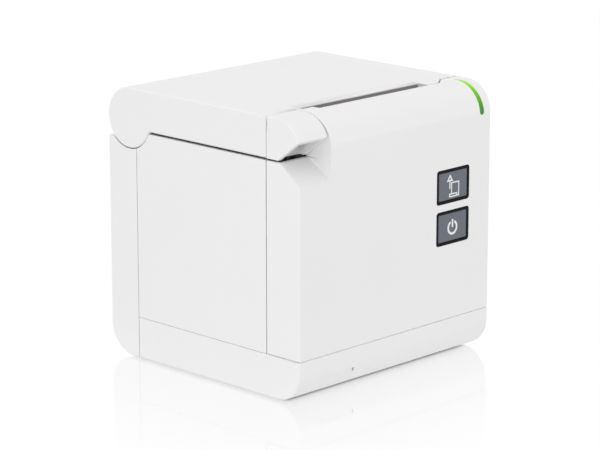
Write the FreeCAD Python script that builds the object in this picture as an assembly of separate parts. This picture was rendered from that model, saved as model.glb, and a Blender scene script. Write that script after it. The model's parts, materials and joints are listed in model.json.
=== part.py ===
import FreeCAD, Part
import math
import os
from FreeCAD import Vector

# Casing, in mm: X to the right seen from the front, Y to the back, Z up
width = 130.0
depth = 127.0
height = 132.0
corner_radius = 14.5
edge_break = 0.6
wall = 2.2
seam = 0.4
base_seam = 0.2
panel_gap = 0.6
lid_gap = 1.0
front_gap = 0.5
foot_drop = 0.8
lid_skirt = 20.0
base_rise = 21.0
rear_run = 19.5
front_run = 21.0
rear_land_drop = 24.7
socket_web = 2.0
overcut = 1.0
tiny = 0.001

# Paper path
paper_width = 80.0
guide_run = 12.7
paper_shift = -2.2
side_play = 0.8
paper_lead = 0.7
nip_gap = 0.05
bin_wall = 2.0
bin_setback = 4.8
bin_floor = 24.0
bin_top_drop = 32.0
plate = 1.2

# Lid hinge
arm_half = 2.6
arm_eye = 4.2
arm_post = 7.0
lug_radius = 5.0
lug_width = 4.0
lug_gap = 0.5
pin_radius = 2.0
running_fit = 0.05
barrel_end_angle = 60.0
step_round = 2.0

# Lid front, lever and finger recess
lip_drop = 8.0
lid_nose = 3.5
lid_nose_depth = 4.8
lever_clear = 3.4
lever_gap = 0.35
lever_lean = 0.12
lever_wall = 1.9
lever_back = 4.0
lever_lip_drop = 9.0
lever_tip_run = 13.5
recess_over = 1.7
recess_slant = 2.3
recess_drop = 31.0
recess_run = 13.0
lever_pin_run = 4.0
lever_pin_drop = 8.0
lever_pin_radius = 1.2
lever_eye = 2.4
lever_arm_inset = 1.4
lever_rib_gap = 0.7
lever_lobe = 4.0
leaf = 0.4
leaf_run = 9.0
leaf_post = 3.0

# Latch hook and its catch pin
hook_gap = 1.6
hook_thick = 2.0
hook_arm = 4.0
hook_reach = 21.0
hook_nose = 2.6
hook_lead = 0.6
catch_radius = 1.5
catch_gap = 0.3
catch_rise = 1.8

# Paper slot in the top
slot_left_in = 7.0
slot_taper = 0.6
slot_depth = 5.1
slot_set_back = 1.8
slot_show = 3.0
slot_skin = 0.8
stub_gap = 1.4
tab_lap = 0.2
tab_width = 7.3
tab_slant = 6.6
slot_clear = 0.6
lid_set_back = 0.8
lid_dip = 0.2
lid_dip_run = 7.0

# Platen, drive gears and feed motor
platen_radius = 5.0
platen_drop = 17.0
shaft_radius = 2.5
bush_radius = 4.0
bush_flange = 0.8
bush_play = 0.1
ear_thick = 1.8
ear_gap = 0.3
gear_module = 0.5
addendum = 0.9
dedendum = 1.25
pressure_angle = 20.0
backlash = 0.12
platen_teeth = 18
idler_small_teeth = 16
idler_big_teeth = 40
feed_pinion_teeth = 12
idler_angle = 15.0
feed_angle = -5.0
gear_gap = 1.0
gear_width = 3.4
gear_step = 0.6
post_radius = 1.5
collar_radius = 2.6
motor_radius = 12.0
motor_boss = 4.0
motor_shaft = 1.0
motor_gap = 0.5
spacer_radius = 2.5

# Mechanism frame, guide, head
frame_floor_drop = 33.7
frame_front_run = 6.8
frame_side_low = 10.0
frame_side_over = 14.5
frame_top_drop = 12.8
head_over = 1.0
head_thick = 1.0
head_rise = 3.0
head_height = 14.0
sink_thick = 4.2
sink_drop = 15.0
head_pin_radius = 1.5
head_pin_drop = 12.0
head_pin_in = 2.6
head_spring_gap = 0.4
head_spring_width = 14.0
guide_rise = 6.5
guide_thick = 1.5
sensor_width = 6.0
sensor_height = 3.0

# Cutter
blade = 1.0
blade_gap = 0.1
blade_v = 3.0
blade_stroke = 6.5
blade_front_gap = 1.4
blade_depth = 15.2
blade_floor_rise = 0.1
fixed_lead = 0.6
fixed_depth = 7.0
rack_module = 0.6
rack_teeth = 5
rack_bar = 6.4
cutter_teeth = 12
cutter_motor_radius = 4.2
cutter_motor_height = 17.0
cutter_shaft_run = 9.0
cutter_rail = 2.6
cutter_rail_rise = 2.0

# Buttons, light guide and their board
button_width = 22.9
button_height = 16.4
button_side_in = 26.55
feed_drop = 45.9
button_pitch = 20.1
rim = 1.3
rim_round = 1.5
rim_flange = 1.9
flange_thick = 1.0
key_gap = 0.2
key_sink = 0.1
key_round = 0.5
key_flange = 0.7
key_flange_thick = 0.6
key_travel = 0.5
switch_size = 6.0
switch_height = 1.3
switch_gap = 0.4
board_thick = 1.2
board_margin = 5.0
board_post = 2.5
light_top_in = 7.5
light_foot_in = 6.4
light_tip_width = 0.4
light_tip_run = 2.0
light_taper = 5.0
light_top_width = 2.3
light_foot_width = 2.75
light_foot_drop = 15.0
light_fit = 0.08
light_leg = 2.4
led_size = 3.0

# Base, rear sockets and fixings
foot_radius = 6.0
foot_sink = 1.0
foot_side_in = 13.0
foot_front_in = 23.5
foot_rear_in = 27.5
post_out = 5.5
post_front_run = 25.0
post_rear_run = 9.0
boss_radius = 4.0
boss_top = 28.0
tab_thick = 3.0
screw_radius = 1.5
screw_fit = 0.15
screw_head = 2.9
screw_head_high = 1.8
notch_side_in = 14.4
notch_width = 22.0
notch_rise = 11.0
notch_high = 5.0
notch_sink = 0.5
main_board_z = 8.0
main_board_thick = 1.6
main_board_gap = 3.0
main_board_lead = 35.0
main_board_rear_in = 5.4
socket_face = 2.6
socket_fit = 0.4
standoff_radius = 3.0
standoff_front_run = 18.0
standoff_front_drop = 8.0
standoff_rear_run = 15.0
standoff_rear_drop = 50.0

# Rear sockets: place across, width and height over the board
dc_x = -36.0
dc_width = 14.0
dc_height = 12.5
usb_x = -16.0
usb_width = 12.0
usb_height = 10.8
lan_x = 5.0
lan_width = 16.0
lan_height = 13.4
drawer_x = 27.0
drawer_width = 13.2
drawer_height = 12.2
socket_depth = 15.0
mouth_wall = 1.4
mouth_depth = 10.0
mouth_free = 5.0
dc_bore = 4.6

# Lines worked out from the sizes above
half_w = width / 2
inner_x = half_w - wall
front_y = -depth / 2
rear_y = depth / 2
floor_z = foot_drop
lid_z = height - lid_skirt
lid_edge_z = lid_z + lid_gap / 2
rear_seam_y = rear_y - rear_run
front_seam_y = front_y + front_run
lid_front_y = front_seam_y + seam / 2
cover_back_y = front_seam_y - seam / 2
hinge_y = rear_y - corner_radius
hinge_z = height - corner_radius
rear_land_z = height - rear_land_drop
socket_radius = corner_radius + seam
path_left = paper_shift - paper_width / 2 - side_play
path_right = paper_shift + paper_width / 2 + side_play
bin_left = path_left - bin_wall
bin_right = path_right + bin_wall
plate_left = bin_left - plate
plate_right = bin_right + plate
paper_y = front_seam_y - paper_lead
bin_front_y = paper_y + guide_run
bin_outer = (rear_y - wall - bin_setback - bin_front_y) / 2
bin_radius = bin_outer - bin_wall
bin_y = bin_front_y + bin_outer
bin_z = bin_floor + bin_outer
bin_top_z = height - bin_top_drop
platen_y = paper_y + nip_gap + platen_radius
platen_z = height - platen_drop
head_face_y = paper_y - nip_gap
sink_front_y = head_face_y - head_thick - sink_thick
head_pin_y = head_face_y - head_thick - head_pin_in
head_pin_z = platen_z - head_pin_drop
frame_floor_z = height - frame_floor_drop
frame_top_z = height - frame_top_drop
frame_front_y = front_y + wall + frame_front_run
frame_back_y = bin_front_y + frame_side_over
head_half = (paper_width + head_over) / 2
cutter_floor_z = frame_top_z + plate
blade_z = cutter_floor_z + blade_floor_rise
fixed_z = blade_z + blade + blade_gap
lever_right = path_left - lever_clear
lever_rear_y = lid_front_y - lever_gap
lever_pin_y = lid_front_y + lever_pin_run
lever_pin_z = height - lever_pin_drop
recess_right = lever_right + recess_over
slot_left = path_left + slot_left_in
tab_start = path_right - tab_lap
tab_end = tab_start + tab_width
button_x = half_w - button_side_in
feed_z = height - feed_drop
power_z = feed_z - button_pitch
light_top_x = half_w - light_top_in
light_foot_x = half_w - light_foot_in
notch_left = -half_w + notch_side_in
key_back_y = front_y + wall + key_gap + key_flange_thick
board_y = key_back_y + key_travel + switch_gap + switch_height
platen_gear_x = plate_right + gear_gap
idler_big_x = platen_gear_x + gear_width + gear_step
gear_plate_x = idler_big_x + gear_width + gear_step
gear_plate_out = gear_plate_x + plate


def box(x0, x1, y0, y1, z0, z1):
    return Part.makeBox(x1 - x0, y1 - y0, z1 - z0, Vector(x0, y0, z0))


def rod_x(radius, x0, x1, y, z):
    return Part.makeCylinder(radius, x1 - x0, Vector(x0, y, z), Vector(1, 0, 0))


def rod_y(radius, x, y0, y1, z):
    return Part.makeCylinder(radius, y1 - y0, Vector(x, y0, z), Vector(0, 1, 0))


def rod_z(radius, x, y, z0, z1):
    return Part.makeCylinder(radius, z1 - z0, Vector(x, y, z0), Vector(0, 0, 1))


def prism_x(points, x0, x1):
    corners = [Vector(x0, y, z) for y, z in points]
    face = Part.Face(Part.makePolygon(corners + corners[:1]))
    return face.extrude(Vector(x1 - x0, 0, 0))


def prism_y(points, y0, y1):
    corners = [Vector(x, y0, z) for x, z in points]
    face = Part.Face(Part.makePolygon(corners + corners[:1]))
    return face.extrude(Vector(0, y1 - y0, 0))


def prism_z(points, z0, z1):
    corners = [Vector(x, y, z0) for x, y in points]
    face = Part.Face(Part.makePolygon(corners + corners[:1]))
    return face.extrude(Vector(0, 0, z1 - z0))


def edges_along(shape, axis):
    found = []
    for edge in shape.Edges:
        if len(edge.Vertexes) < 2:
            continue
        run = edge.Vertexes[1].Point - edge.Vertexes[0].Point
        if run.Length > tiny and abs(abs(run.dot(axis)) - run.Length) < tiny:
            found.append(edge)
    return found


def edges_at_x(shape, x):
    return [e for e in shape.Edges if all(abs(v.X - x) < tiny for v in e.Vertexes)]


def slab_y(x, z, wide, high, y0, y1):
    return box(x - wide / 2, x + wide / 2, y0, y1, z - high / 2, z + high / 2)


def pad_y(x, z, wide, high, y0, y1, radius):
    slab = slab_y(x, z, wide, high, y0, y1)
    return slab.makeFillet(radius, edges_along(slab, Vector(0, 1, 0)))


def casing_block(inset):
    block = box(-half_w + inset, half_w - inset, front_y + inset, rear_y - inset,
                floor_z + inset, height - inset)
    return block.makeFillet(corner_radius - inset, edges_along(block, Vector(1, 0, 0)))


def casing_envelope():
    block = casing_block(0.0)
    return block.makeChamfer(edge_break, edges_at_x(block, -half_w) + edges_at_x(block, half_w))


def casing_skin():
    return casing_envelope().cut(casing_block(wall))


def union(first, *others):
    shape = first
    for other in others:
        shape = shape.fuse(other)
    return shape.removeSplitter()


def gear_points(teeth, module, phase):
    """Tooth outline round the origin, one tooth centred on the angle phase."""
    pitch = teeth * module / 2
    base = pitch * math.cos(math.radians(pressure_angle))
    root = pitch - dedendum * module
    tip = pitch + addendum * module
    steps = [root, pitch, tip]
    slant = math.radians(pressure_angle)
    half_at_pitch = math.pi / (2 * teeth) - backlash / (4 * pitch)
    turned = math.tan(slant) - slant

    def half_angle(radius):
        angle = math.acos(min(1.0, base / radius))
        return half_at_pitch + turned - (math.tan(angle) - angle)

    flank = [(radius, half_angle(max(radius, base))) for radius in steps]
    points = []
    for tooth in range(teeth):
        middle = phase + 2 * math.pi * tooth / teeth
        rising = [(radius, middle - half) for radius, half in flank]
        falling = [(radius, middle + half) for radius, half in reversed(flank)]
        points += [(r * math.cos(a), r * math.sin(a)) for r, a in rising + falling]
    return points


def gear_x(teeth, module, phase, x0, x1, y, z):
    outline = [(y + u, z + v) for u, v in gear_points(teeth, module, phase)]
    return prism_x(outline, x0, x1)


def gear_z(teeth, module, phase, x, y, z0, z1):
    outline = [(x + u, y + v) for u, v in gear_points(teeth, module, phase)]
    return prism_z(outline, z0, z1)


def pitch_radius(teeth, module):
    return teeth * module / 2


# Gear centres, each one turned round the one before it
first_run = pitch_radius(platen_teeth, gear_module) + pitch_radius(idler_small_teeth, gear_module)
idler_y = platen_y + first_run * math.sin(math.radians(idler_angle))
idler_z = platen_z - first_run * math.cos(math.radians(idler_angle))
second_run = pitch_radius(idler_big_teeth, gear_module) + pitch_radius(feed_pinion_teeth, gear_module)
motor_y = idler_y + second_run * math.sin(math.radians(feed_angle))
motor_z = idler_z - second_run * math.cos(math.radians(feed_angle))
to_idler = math.atan2(idler_z - platen_z, idler_y - platen_y)
to_motor = math.atan2(motor_z - idler_z, motor_y - idler_y)

# Cutter rack line and pinion centre
blade_tip_y = paper_y - blade_front_gap
blade_back_y = blade_tip_y - blade_depth
rack_x = plate_right + rack_bar - wall
cutter_radius = pitch_radius(cutter_teeth, rack_module)
cutter_x = rack_x + cutter_radius
rack_pitch = math.pi * rack_module
cutter_y = blade_back_y + blade_stroke + rack_pitch


def shell_base():
    keep = box(-half_w, half_w, front_y, rear_seam_y - seam / 2, floor_z, base_rise - base_seam / 2)
    tray = casing_skin().common(keep)
    for x, y in boss_points():
        tray = tray.fuse(rod_z(boss_radius, x, y, floor_z + tiny, boss_top))
    for x, y in board_post_points():
        tray = tray.fuse(rod_z(board_post, x, y, floor_z + tiny, main_board_z))
    for x, y in boss_points():
        tray = tray.cut(rod_z(screw_radius + screw_fit, x, y, floor_z - overcut, boss_top + overcut))
        tray = tray.cut(rod_z(screw_head + screw_fit, x, y, floor_z - overcut, floor_z + screw_head_high))
    for x, y in foot_points():
        tray = tray.cut(rod_z(foot_radius + running_fit, x, y, floor_z - overcut, floor_z + foot_sink))
    return tray.cut(front_notch())


def lower_round_in(z):
    """How far the rounded lower edge lies behind the front face at the height z."""
    down = floor_z + corner_radius - z
    return corner_radius - math.sqrt(corner_radius ** 2 - down ** 2)


def front_notch():
    """Shallow pull in the base front: deepest under its top edge, running out to the skin below."""
    foot = notch_rise - notch_high
    deep = front_y + lower_round_in(notch_rise) + notch_sink
    outline = [(front_y - overcut, notch_rise), (deep, notch_rise),
               (front_y + lower_round_in(foot), foot), (front_y - overcut, foot)]
    return prism_x(outline, notch_left, notch_left + notch_width)


def boss_points():
    left = bin_left - post_out
    right = bin_right + post_out
    front = bin_y - post_front_run
    rear = bin_y + post_rear_run
    return [(left, front), (right, front), (left, rear), (right, rear)]


def board_post_points():
    left = bin_left + board_post + main_board_gap
    right = bin_right - board_post - main_board_gap
    front = bin_y - main_board_lead + board_post + main_board_gap
    rear = rear_seam_y - board_post - main_board_gap
    return [(left, front), (right, front), (left, rear), (right, rear)]


def foot_points():
    side = half_w - foot_side_in
    front = front_y + foot_front_in
    rear = rear_y - foot_rear_in
    return [(-side, front), (side, front), (-side, rear), (side, rear)]


def rubber_feet():
    feet = [rod_z(foot_radius, x, y, 0.0, floor_z + foot_sink) for x, y in foot_points()]
    return Part.makeCompound(feet)


def case_screws():
    screws = []
    for x, y in boss_points():
        head_top = floor_z + screw_head_high
        shank = rod_z(screw_radius, x, y, head_top - tiny, boss_top + tab_thick)
        screws.append(union(rod_z(screw_head, x, y, floor_z + foot_sink, head_top), shank))
    return Part.makeCompound(screws)


def shell_rear_cover():
    keep = box(-half_w, half_w, rear_seam_y + seam / 2, rear_y, floor_z, rear_land_z)
    trough = rod_x(socket_radius + socket_web, -inner_x - tiny, inner_x + tiny, hinge_y, hinge_z)
    trough = trough.common(box(-half_w, half_w, rear_seam_y + seam / 2, rear_y - wall / 2,
                               floor_z, rear_land_z))
    cover = casing_skin().common(keep).fuse(trough)
    cover = cover.cut(rod_x(socket_radius, -half_w - overcut, half_w + overcut, hinge_y, hinge_z))
    for x, wide, high in socket_list():
        low = main_board_z + main_board_thick - socket_fit
        cover = cover.cut(box(x - wide / 2 - socket_fit, x + wide / 2 + socket_fit,
                              rear_y - corner_radius / 2, rear_y + overcut,
                              low, low + high + 2 * socket_fit))
    return cover.removeSplitter()


def socket_list():
    return [(dc_x, dc_width, dc_height), (usb_x, usb_width, usb_height),
            (lan_x, lan_width, lan_height), (drawer_x, drawer_width, drawer_height)]


def socket_box(x, wide, high):
    face = rear_y - socket_face
    top = main_board_z + main_board_thick
    return box(x - wide / 2, x + wide / 2, face - socket_depth, face, top, top + high)


def dc_jack():
    face = rear_y - socket_face
    middle = main_board_z + main_board_thick + dc_height / 2
    bore = rod_y(dc_bore, dc_x, face - mouth_depth, face + overcut, middle)
    pins = [rod_y(mouth_wall / 2, dc_x + side, face - mouth_depth - tiny, face - mouth_free, middle)
            for side in (-dc_bore / 2, dc_bore / 2)]
    return union(socket_box(dc_x, dc_width, dc_height).cut(bore), *pins)


def square_socket(x, wide, high):
    face = rear_y - socket_face
    top = main_board_z + main_board_thick
    mouth = box(x - wide / 2 + mouth_wall, x + wide / 2 - mouth_wall, face - mouth_depth, face + overcut,
                top + mouth_wall, top + high - mouth_wall)
    return socket_box(x, wide, high).cut(mouth)


def usb_port():
    face = rear_y - socket_face
    middle = main_board_z + main_board_thick + usb_height / 2
    tongue = box(usb_x - usb_width / 4, usb_x + usb_width / 4, face - mouth_depth - tiny, face - mouth_free,
                 middle - mouth_wall, middle + mouth_wall)
    return union(square_socket(usb_x, usb_width, usb_height), tongue)


def latch_socket(x, wide, high):
    face = rear_y - socket_face
    top = main_board_z + main_board_thick
    key = box(x - wide / 6, x + wide / 6, face - mouth_depth, face + overcut, top + overcut / 2,
              top + high / 2)
    return square_socket(x, wide, high).cut(key)


def main_board():
    return box(bin_left + main_board_gap, bin_right - main_board_gap, bin_y - main_board_lead,
               rear_y - main_board_rear_in, main_board_z, main_board_z + main_board_thick)


def side_outline():
    """Side panel plate, topped by the lid line and hollowed round the hinge disc."""
    plate_solid = box(0.0, wall, cover_back_y + panel_gap, rear_seam_y - seam / 2,
                      base_rise + base_seam / 2, lid_z - lid_gap / 2)
    plate_solid = plate_solid.cut(rod_x(socket_radius, -overcut, wall + overcut, hinge_y, hinge_z))
    crest_y = hinge_y - math.sqrt(socket_radius ** 2 - (hinge_z - lid_z + lid_gap / 2) ** 2)
    crest = [e for e in edges_along(plate_solid, Vector(1, 0, 0))
             if abs(e.Vertexes[0].Y - crest_y) < tiny]
    return plate_solid.makeFillet(step_round / 2, crest)


def side_panel(left):
    shape = side_outline()
    shape.translate(Vector(-half_w if left else inner_x, 0, 0))
    x0 = -inner_x - tiny if left else bin_right
    x1 = bin_left if left else inner_x + tiny
    posts = [rod_x(standoff_radius, x0, x1, bin_y - standoff_front_run, bin_top_z - standoff_front_drop),
             rod_x(standoff_radius, x0, x1, bin_y + standoff_rear_run, bin_top_z - standoff_rear_drop)]
    return union(shape, *posts)


def recess_wedge(grow):
    """Finger recess under the lever, a wedge that narrows to the seam."""
    apex = (front_y + recess_run + grow, lid_z)
    low = (front_y - overcut, height - recess_drop - grow)
    high = (front_y - overcut, height + grow)
    solid = prism_x([apex, low, high, (apex[0], height + grow)], -half_w - overcut, half_w)
    right = recess_right + grow
    inner = right - recess_slant
    plan = [(-half_w - overcut, front_y - overcut), (right, front_y - overcut), (right, front_y),
            (inner, front_y + recess_run), (inner, front_y + recess_run + grow),
            (-half_w - overcut, front_y + recess_run + grow)]
    return solid.common(prism_z(plan, 0.0, height + overcut))


def lever_room(gap):
    return box(-half_w - overcut, lever_right + gap, front_y - overcut, lid_front_y, lid_z - lid_gap / 2,
               height + overcut)


def shell_front_cover():
    keep = box(-half_w, half_w, front_y, cover_back_y, base_rise + front_gap - base_seam / 2, height)
    envelope = casing_envelope()
    side_wall = box(lever_right, lever_right + seam + wall, front_y, frame_front_y + wall, lid_z, height)
    liner = union(recess_wedge(wall), side_wall).common(envelope).common(
        box(-half_w, half_w, front_y, head_pin_y - overcut, base_rise, height))
    liner = liner.cut(box(-inner_x, lever_right, front_y, rear_y, lid_z + tiny, height + overcut))
    cover = envelope.cut(casing_block(wall)).common(keep).fuse(liner)
    cover = cover.cut(recess_wedge(0.0))
    cover = cover.cut(lever_room(seam))
    cover = cover.cut(slot_cut())
    for z in (feed_z, power_z):
        cover = cover.cut(pad_y(button_x, z, button_width + key_gap, button_height + key_gap,
                                front_y - overcut, front_y + wall + overcut, rim_round))
    for x, z in board_points():
        cover = cover.fuse(rod_y(board_post, x, front_y + wall - tiny, board_y, z))
    cover = cover.cut(light_guide_solid(light_fit))
    return cover.removeSplitter()


def slot_cut():
    """Plan of the paper slot: narrow stub, slot with a tapered left end, stepped right end."""
    deep = cover_back_y - slot_depth
    stub = cover_back_y - stub_gap + seam
    plan = [(path_left, lid_front_y), (path_left, stub),
            (slot_left - slot_taper, stub), (slot_left, deep), (tab_end, deep),
            (tab_end + tab_slant, cover_back_y), (tab_end + tab_slant, lid_front_y)]
    return prism_z(plan, frame_top_z, height + overcut)


def lid_tab():
    deep = cover_back_y - slot_depth + slot_clear
    end = tab_end + tab_slant - slot_clear
    back = lid_front_y + slot_set_back + wall
    plan = [(tab_start, back), (tab_start, deep), (tab_end - slot_clear, deep), (end, lid_front_y - tiny),
            (end, back)]
    return prism_z(plan, height - wall, height)


def light_guide_solid(grow):
    """Strip of the rounded front edge with a round foot, narrowing to a tip on the flat top."""
    tip_y = front_y + corner_radius + light_tip_run + grow
    taper_y = tip_y - light_taper
    skin = casing_block(0.0).cut(casing_block(light_leg + grow))
    foot = light_foot_width / 2 + grow
    top = light_top_width / 2 + grow
    tip = light_tip_width / 2 + grow
    foot_z = height - light_foot_drop + light_foot_width / 2
    strip = prism_y([(light_foot_x - foot, foot_z), (light_foot_x + foot, foot_z),
                     (light_top_x + top, height + overcut), (light_top_x - top, height + overcut)],
                    front_y - overcut, tip_y)
    strip = strip.fuse(rod_y(foot, light_foot_x, front_y - overcut, front_y + corner_radius, foot_z))
    plan = [(0.0, front_y - overcut), (half_w, front_y - overcut), (half_w, taper_y),
            (light_top_x + top, taper_y), (light_top_x + tip, tip_y), (light_top_x - tip, tip_y),
            (light_top_x - top, taper_y), (0.0, taper_y)]
    return skin.common(strip).common(prism_z(plan, 0.0, height + overcut))


def board_points():
    left = button_x - button_width / 2 - board_margin
    right = half_w - wall - board_margin
    low = power_z - button_height / 2 - board_margin
    high = feed_z + button_height / 2 + board_margin
    return [(left, low), (right, low), (left, high), (right, high)]


def control_board():
    (left, low), (right, high) = board_points()[0], board_points()[3]
    main = box(left - board_post, right + board_post, board_y, board_y + board_thick,
               low - board_post, high + board_post)
    arm = box(light_foot_x - led_size, light_foot_x + led_size, board_y, board_y + board_thick,
              high, height - corner_radius)
    return union(main, arm)


def button_switches():
    switches = [box(button_x - switch_size / 2, button_x + switch_size / 2, board_y - switch_height, board_y,
                    z - switch_size / 2, z + switch_size / 2) for z in (feed_z, power_z)]
    return Part.makeCompound(switches)


def status_led():
    z = height - corner_radius - led_size
    return box(light_foot_x - led_size / 2, light_foot_x + led_size / 2, board_y - switch_height, board_y,
               z - led_size / 2, z + led_size / 2)


def button_rim(z):
    inner_w = button_width - 2 * rim
    inner_h = button_height - 2 * rim
    inside = front_y + wall
    frame = pad_y(button_x, z, button_width, button_height, front_y, inside + tiny, rim_round)
    flange = slab_y(button_x, z, button_width + 2 * rim_flange, button_height + 2 * rim_flange,
                    inside, inside + flange_thick)
    frame = frame.cut(pad_y(button_x, z, inner_w, inner_h, front_y - overcut, inside + overcut, key_round))
    wide = inner_w - 2 * key_gap + 2 * key_flange + 2 * key_gap
    high = inner_h - 2 * key_gap + 2 * key_flange + 2 * key_gap
    flange = flange.cut(slab_y(button_x, z, wide, high, inside - overcut, inside + flange_thick + overcut))
    return union(frame, flange)


def button_rims():
    return Part.makeCompound([button_rim(feed_z), button_rim(power_z)])


def button_key(z):
    wide = button_width - 2 * rim - 2 * key_gap
    high = button_height - 2 * rim - 2 * key_gap
    back = key_back_y - key_flange_thick
    cap = pad_y(button_x, z, wide, high, front_y + key_sink, back + tiny, key_round)
    flange = slab_y(button_x, z, wide + 2 * key_flange, high + 2 * key_flange, back, key_back_y)
    return union(cap, flange)


def lid_outline():
    """Lid side profile: flat top, full hinge disc, and a hollow round where the two meet."""
    rise = hinge_z - lid_edge_z + step_round
    reach = corner_radius + step_round
    round_y = hinge_y - math.sqrt(reach ** 2 - rise ** 2)
    round_z = lid_edge_z - step_round
    share = corner_radius / reach
    meet = (hinge_y + (round_y - hinge_y) * share, hinge_z + (round_z - hinge_z) * share)
    meet_angle = math.atan2(meet[1] - hinge_z, meet[0] - hinge_y)
    half_way = (math.pi / 2 + meet_angle) / 2
    disc_mid = (hinge_y + corner_radius * math.cos(half_way), hinge_z + corner_radius * math.sin(half_way))
    start = math.atan2(meet[1] - round_z, meet[0] - round_y)
    mid = (start + math.pi / 2) / 2
    round_mid = (round_y + step_round * math.cos(mid), round_z + step_round * math.sin(mid))

    def at(point):
        return Vector(-half_w, point[0], point[1])

    low_front = (lid_front_y, lid_edge_z)
    top_front = (lid_front_y, height)
    top_back = (hinge_y, height)
    step = (round_y, lid_edge_z)
    edges = [Part.LineSegment(at(low_front), at(top_front)).toShape(),
             Part.LineSegment(at(top_front), at(top_back)).toShape(),
             Part.Arc(at(top_back), at(disc_mid), at(meet)).toShape(),
             Part.Arc(at(meet), at(round_mid), at(step)).toShape(),
             Part.LineSegment(at(step), at(low_front)).toShape()]
    return Part.Face(Part.Wire(edges))


def lid_shell():
    solid = lid_outline().extrude(Vector(width, 0, 0))
    upright = [e.hashCode() for e in edges_along(solid, Vector(0, 0, 1))]
    rims = [e for e in edges_at_x(solid, -half_w) + edges_at_x(solid, half_w) if e.hashCode() not in upright]
    solid = solid.makeChamfer(edge_break, rims)
    lip_y = lid_front_y + slot_set_back + wall
    below = hinge_z - corner_radius - overcut
    room = box(-inner_x, inner_x, lip_y, hinge_y, below, height - wall)
    room = room.fuse(rod_x(corner_radius - wall, -inner_x, inner_x, hinge_y, hinge_z))
    end_y = hinge_y + corner_radius * math.cos(math.radians(barrel_end_angle))
    room = room.fuse(box(-inner_x, inner_x, lip_y, end_y, below, hinge_z - arm_half))
    room = room.fuse(box(-inner_x, inner_x, lid_front_y - overcut, lip_y + tiny, below, height - lip_drop))
    shell = solid.cut(room)
    nose_x = lever_right + seam
    shell = shell.cut(box(-inner_x, nose_x, lid_front_y - overcut, lip_y + tiny, below, height - wall))
    shell = shell.fuse(box(-inner_x - tiny, nose_x, lid_front_y, lid_front_y + lid_nose,
                           height - lid_nose_depth, height - wall + tiny))
    corner = box(-half_w - overcut, nose_x, lid_front_y - overcut, lid_front_y + lid_nose,
                 height - lid_nose, height + overcut)
    corner = corner.cut(rod_x(lid_nose, -half_w - overcut * 2, nose_x + overcut, lid_front_y + lid_nose,
                              height - lid_nose))
    shell = shell.cut(corner).cut(lid_slope()).cut(lid_set_backs()).cut(slot_bar(running_fit))
    shell = shell.fuse(lid_tab())
    for x in (bin_left - lug_gap - lug_width, bin_right + lug_gap):
        lug = rod_x(lug_radius, x, x + lug_width, hinge_y, hinge_z)
        lug = lug.fuse(box(x, x + lug_width, hinge_y - lug_radius, hinge_y + lug_radius, hinge_z,
                           height - wall + tiny))
        lug = lug.cut(rod_x(pin_radius + running_fit, x - overcut, x + lug_width + overcut, hinge_y,
                            hinge_z))
        shell = shell.fuse(lug)
    shell = shell.fuse(lever_rib())
    return shell.removeSplitter()


def lid_slope():
    """Shallow slope of the lid top down to the paper slot."""
    edge = lid_front_y + slot_set_back
    outline = [(edge + lid_dip_run, height), (edge - slot_set_back - overcut, height + overcut),
               (edge - slot_set_back - overcut, height - lid_dip), (edge, height - lid_dip)]
    return prism_x(outline, path_left, tab_start)


def lid_set_backs():
    """Room in front of the lid edge: the slot with its stub, and the seam right of the tab."""
    front = lid_front_y - overcut
    slot = box(path_left, tab_start, front, lid_front_y + slot_set_back, height - slot_show,
               height + overcut)
    end = tab_end + tab_slant - slot_clear
    return slot.fuse(box(end, half_w + overcut, front, lid_front_y + lid_set_back, lid_z, height + overcut))


def slot_bar(gap):
    """Front bar of the inner frame under the thin lid edge: the back wall of the paper slot."""
    front = lid_front_y + slot_set_back
    return box(path_left + running_fit - gap, tab_start - running_fit + gap, front - gap,
               front + wall + running_fit + tiny, height - slot_show + running_fit - gap,
               height - slot_skin - running_fit + gap)


def lever_third():
    """Arm, rib and arm share the room between the casing side and the hook evenly."""
    return (lever_hook_x() + inner_x - lever_arm_inset - 2 * lever_rib_gap) / 3


def lever_arm_starts():
    left = -inner_x + lever_arm_inset
    right = lever_hook_x() - lever_third()
    return (left, right)


def lever_rib():
    left, right = lever_arm_starts()
    x0 = left + lever_third() + lever_rib_gap
    x1 = right - lever_rib_gap
    rib = box(x0, x1, lever_pin_y - lever_eye, lever_pin_y + lever_eye, lever_pin_z, height - wall + tiny)
    rib = rib.fuse(rod_x(lever_eye, x0, x1, lever_pin_y, lever_pin_z))
    return rib.cut(rod_x(lever_pin_radius, x0 - overcut, x1 + overcut, lever_pin_y, lever_pin_z))


def lever_pin():
    left, right = lever_arm_starts()
    end = lever_hook_x() + hook_thick
    return rod_x(lever_pin_radius, left - lever_arm_inset / 2, end, lever_pin_y, lever_pin_z)


def lever_hook_x():
    return plate_left - hook_gap - hook_thick


def lever_spring():
    """Leaf under the lever's lobes, hung from the lid on a folded end."""
    left, right = lever_arm_starts()
    top = lever_pin_z - lever_eye + lever_eye / 2
    y0 = lever_pin_y + lever_eye + lever_rib_gap / 2
    y1 = lever_pin_y + leaf_run
    end = right + lever_third()
    strip = box(left, end, y0, y1, top - leaf, top)
    fold = box(left, end, y1 - leaf, y1, top - leaf, height - wall)
    seat = box(left, end, y1 - leaf, y1 + leaf_post, height - wall - leaf, height - wall)
    return union(strip, fold, seat)


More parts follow.
